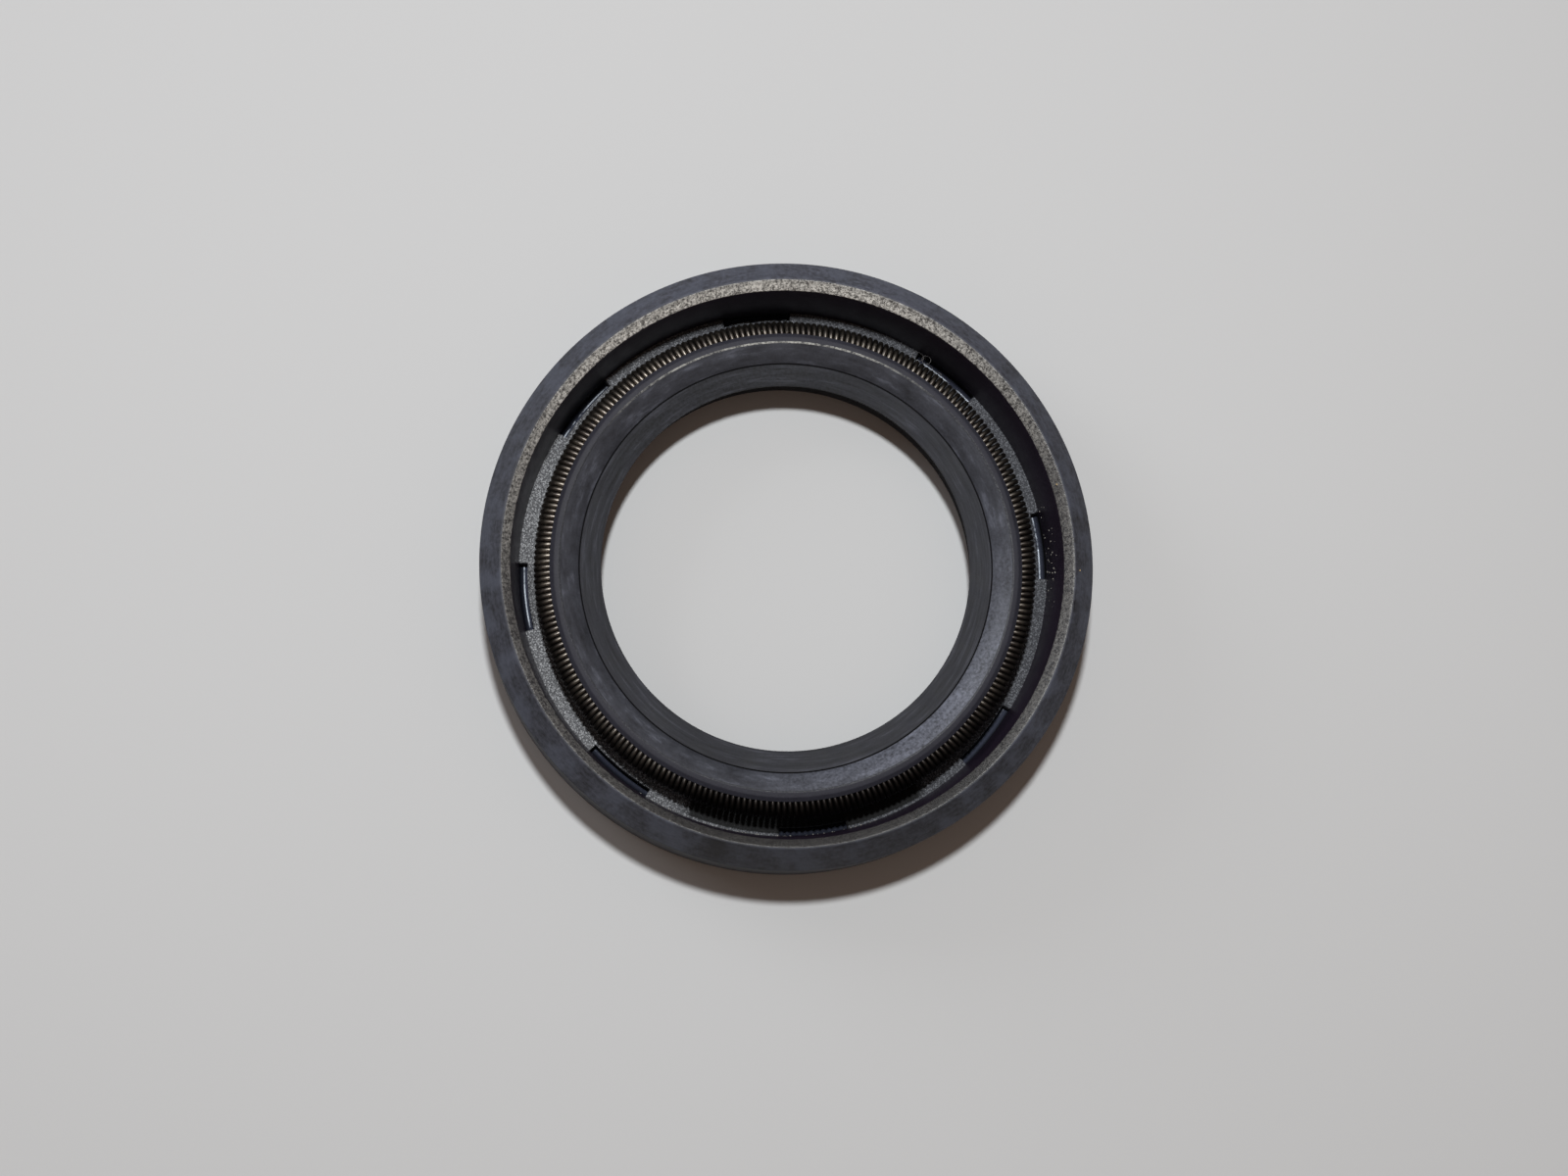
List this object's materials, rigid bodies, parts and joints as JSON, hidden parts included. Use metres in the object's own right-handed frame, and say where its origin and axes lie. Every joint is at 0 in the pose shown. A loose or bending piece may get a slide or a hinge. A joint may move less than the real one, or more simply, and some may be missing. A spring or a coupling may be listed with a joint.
{
  "type": "radial shaft seal",
  "caption": "Rubber-covered radial shaft seal with a spring-loaded sealing lip and a dust lip, lying on its air-side face.",
  "frame": {"origin": "centre of the flat air-side face, on the seal's axis", "axes": "+Z along the seal's axis, from the air side towards the spring side; +X to the right of the picture"},
  "size_m": [0.04, 0.04, 0.007],
  "materials": {
    "black_rubber": "moulded black nitrile rubber, satin, with a knife-trimmed lip face and a rough mould texture on the floor",
    "case_steel": "pressed sheet steel, dark phosphated and glossy, seen only at the floor's pockets",
    "spring_steel": "drawn spring wire, dark bronze-brown with bright crests"
  },
  "bodies": {
    "root": {"rubber_body": "black_rubber", "metal_case": "case_steel", "garter_spring": "spring_steel"}
  },
  "joints": []
}
